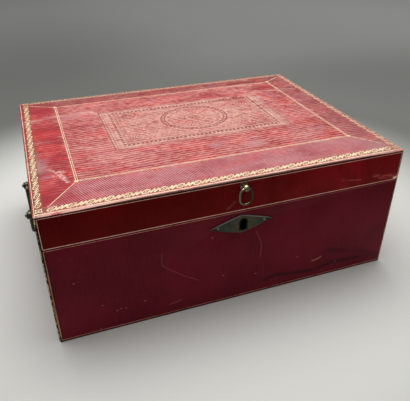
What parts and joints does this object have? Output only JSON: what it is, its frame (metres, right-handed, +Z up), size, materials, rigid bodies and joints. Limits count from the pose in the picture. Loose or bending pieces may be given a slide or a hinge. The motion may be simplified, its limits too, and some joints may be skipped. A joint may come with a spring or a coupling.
{
  "type": "leather box",
  "caption": "Lidded document box of wood covered in tooled leather, with a lock, butt hinges, side bail handles and a pull ring on the lid.",
  "frame": {"origin": "middle of the underside, under the middle of the case over its leather", "axes": "+X to the right along the front, +Y from the front to the back, +Z up"},
  "size_m": [0.4252, 0.3116, 0.156],
  "materials": {
    "red_leather": "straight-grained red leather with gilt tooling, worn",
    "carcass_wood": "planed softwood",
    "lining": "faded sage-green silk",
    "baize": "dark green baize",
    "patinated_brass": "dark olive patina, bright where it is handled",
    "plain_brass": "satin, aged",
    "iron": "dark, dull"
  },
  "bodies": {
    "base": {"base_front_board": "carcass_wood", "base_back_board": "carcass_wood", "base_left_board": "carcass_wood", "base_right_board": "carcass_wood", "base_bottom_board": "carcass_wood", "base_nails": "iron", "base_leather": "red_leather", "underside_cover": "baize", "base_wall_lining": "lining", "base_floor_lining": "lining", "hinge_left_base_leaf": "plain_brass", "hinge_left_pin": "iron", "hinge_right_base_leaf": "plain_brass", "hinge_right_pin": "iron", "hinge_base_screws": "plain_brass", "lock_plate": "plain_brass", "lock_case": "iron", "lock_key_pin": "iron", "lock_bolt_spring": "iron", "lock_screws": "plain_brass", "escutcheon": "patinated_brass", "escutcheon_pins": "patinated_brass", "left_handle_posts": "patinated_brass", "left_handle_washers": "plain_brass", "left_handle_nuts": "iron", "right_handle_posts": "patinated_brass", "right_handle_washers": "plain_brass", "right_handle_nuts": "iron"},
    "lid": {"lid_front_board": "carcass_wood", "lid_back_board": "carcass_wood", "lid_left_board": "carcass_wood", "lid_right_board": "carcass_wood", "lid_top_board": "carcass_wood", "lid_nails": "iron", "lid_side_leather": "red_leather", "lid_top_leather": "red_leather", "lid_wall_lining": "lining", "lid_top_lining": "lining", "hinge_left_lid_leaf": "plain_brass", "hinge_right_lid_leaf": "plain_brass", "hinge_lid_screws": "plain_brass", "strike_plate": "plain_brass", "strike_screws": "plain_brass", "ring_post": "patinated_brass"},
    "pull_ring": {"pull_ring": "patinated_brass"},
    "left_handle_bail": {"left_handle_bail": "patinated_brass"},
    "right_handle_bail": {"right_handle_bail": "patinated_brass"},
    "lock_bolt": {"lock_bolt": "iron"}
  },
  "joints": [
    {"name": "lid_hinge", "type": "hinge", "parent": "base", "child": "lid", "pos_m": [0, 0.1485, 0.11875], "axis": [-1, 0, 0], "range_deg": [0, 95]},
    {"name": "ring_swing", "type": "hinge", "parent": "lid", "child": "pull_ring", "pos_m": [0.003, -0.157, 0.1493], "axis": [-1, 0, 0], "range_deg": [-15, 205]},
    {"name": "left_handle_swing", "type": "hinge", "parent": "base", "child": "left_handle_bail", "pos_m": [-0.2066, 0, 0.0905], "axis": [0, 1, 0], "range_deg": [-5, 180]},
    {"name": "right_handle_swing", "type": "hinge", "parent": "base", "child": "right_handle_bail", "pos_m": [0.2066, 0, 0.0905], "axis": [0, -1, 0], "range_deg": [-5, 180]},
    {"name": "bolt_slide", "type": "slide", "parent": "base", "child": "lock_bolt", "axis": [1, 0, 0], "range_m": [0, 0.005]}
  ]
}
